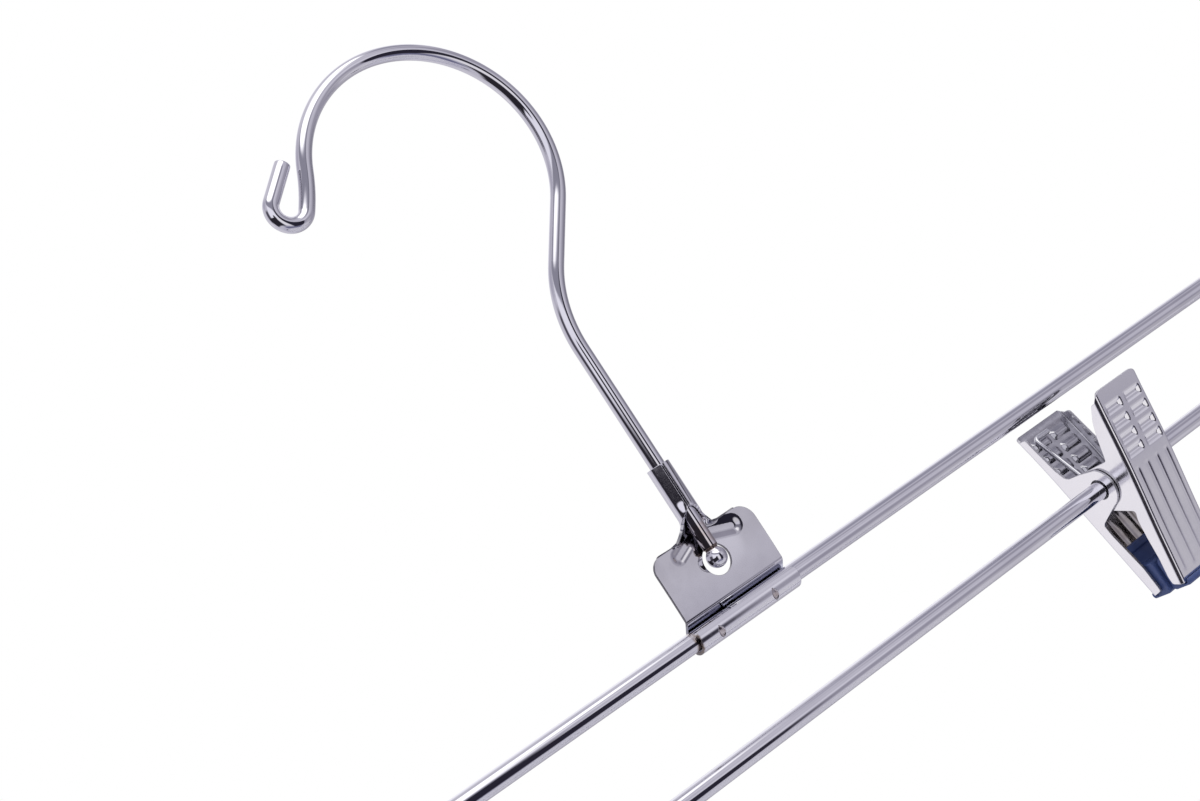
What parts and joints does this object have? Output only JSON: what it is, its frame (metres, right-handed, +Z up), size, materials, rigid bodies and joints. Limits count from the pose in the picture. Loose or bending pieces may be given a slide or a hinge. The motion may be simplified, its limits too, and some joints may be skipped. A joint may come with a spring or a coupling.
{
  "type": "clip hanger",
  "caption": "Wire clothes hanger with a swivelling hook on a stamped bracket, a closed double bar, and sprung metal clips with soft jaw pads that slide and swing on the lower bar.",
  "frame": {"origin": "inside of the hook's bend, straight above the swivel axis, where the rail carries the hanger", "axes": "+X along the two bars, towards the right clip; +Y towards the back of the hanger; +Z up along the hook's shank"},
  "size_m": [0.32, 0.0255, 0.1652],
  "materials": {
    "chrome_wire": "bright chrome plated round wire",
    "chrome_sheet": "bright chrome plated stamped sheet",
    "spring_wire": "plain drawn spring wire",
    "pad_pvc": "satin dark blue soft plastic"
  },
  "bodies": {
    "hook": {"hook": "chrome_wire"},
    "frame": {"frame_wire": "chrome_wire", "bracket": "chrome_sheet"},
    "right_clip_spring": {"right_spring": "spring_wire"},
    "right_clip_back": {"right_back_lever": "chrome_sheet", "right_back_pad": "pad_pvc"},
    "right_clip_front": {"right_front_lever": "chrome_sheet", "right_front_pad": "pad_pvc"},
    "left_clip_spring": {"left_spring": "spring_wire"},
    "left_clip_back": {"left_back_lever": "chrome_sheet", "left_back_pad": "pad_pvc"},
    "left_clip_front": {"left_front_lever": "chrome_sheet", "left_front_pad": "pad_pvc"}
  },
  "joints": [
    {"name": "hook_swivel", "type": "hinge", "parent": "hook", "child": "frame", "pos_m": [0, 0, -0.0964], "axis": [0, 0, 1], "continuous": true},
    {"name": "right_clip_slide", "type": "slide", "parent": "frame", "child": "right_clip_spring", "axis": [1, 0, 0], "range_m": [-0.068, 0.048]},
    {"name": "right_clip_swing", "type": "hinge", "parent": "right_clip_spring", "child": "right_clip_back", "pos_m": [0.09124, 0.00225, -0.13699], "axis": [1, 0, 0], "range_deg": [-26, 26]},
    {"name": "right_clip_open", "type": "hinge", "parent": "right_clip_back", "child": "right_clip_front", "pos_m": [0.09124, 0.00225, -0.13699], "axis": [-1, 0, 0], "range_deg": [0, 25], "stiffness_Nm_per_rad": 0.25, "springref_deg": -18.33, "deforming": ["right_spring"]},
    {"name": "left_clip_slide", "type": "slide", "parent": "frame", "child": "left_clip_spring", "axis": [1, 0, 0], "range_m": [-0.048, 0.068]},
    {"name": "left_clip_swing", "type": "hinge", "parent": "left_clip_spring", "child": "left_clip_back", "pos_m": [-0.09106, 0.00225, -0.13699], "axis": [1, 0, 0], "range_deg": [-26, 26]},
    {"name": "left_clip_open", "type": "hinge", "parent": "left_clip_back", "child": "left_clip_front", "pos_m": [-0.09106, 0.00225, -0.13699], "axis": [-1, 0, 0], "range_deg": [0, 25], "stiffness_Nm_per_rad": 0.25, "springref_deg": -18.33, "deforming": ["left_spring"]}
  ]
}
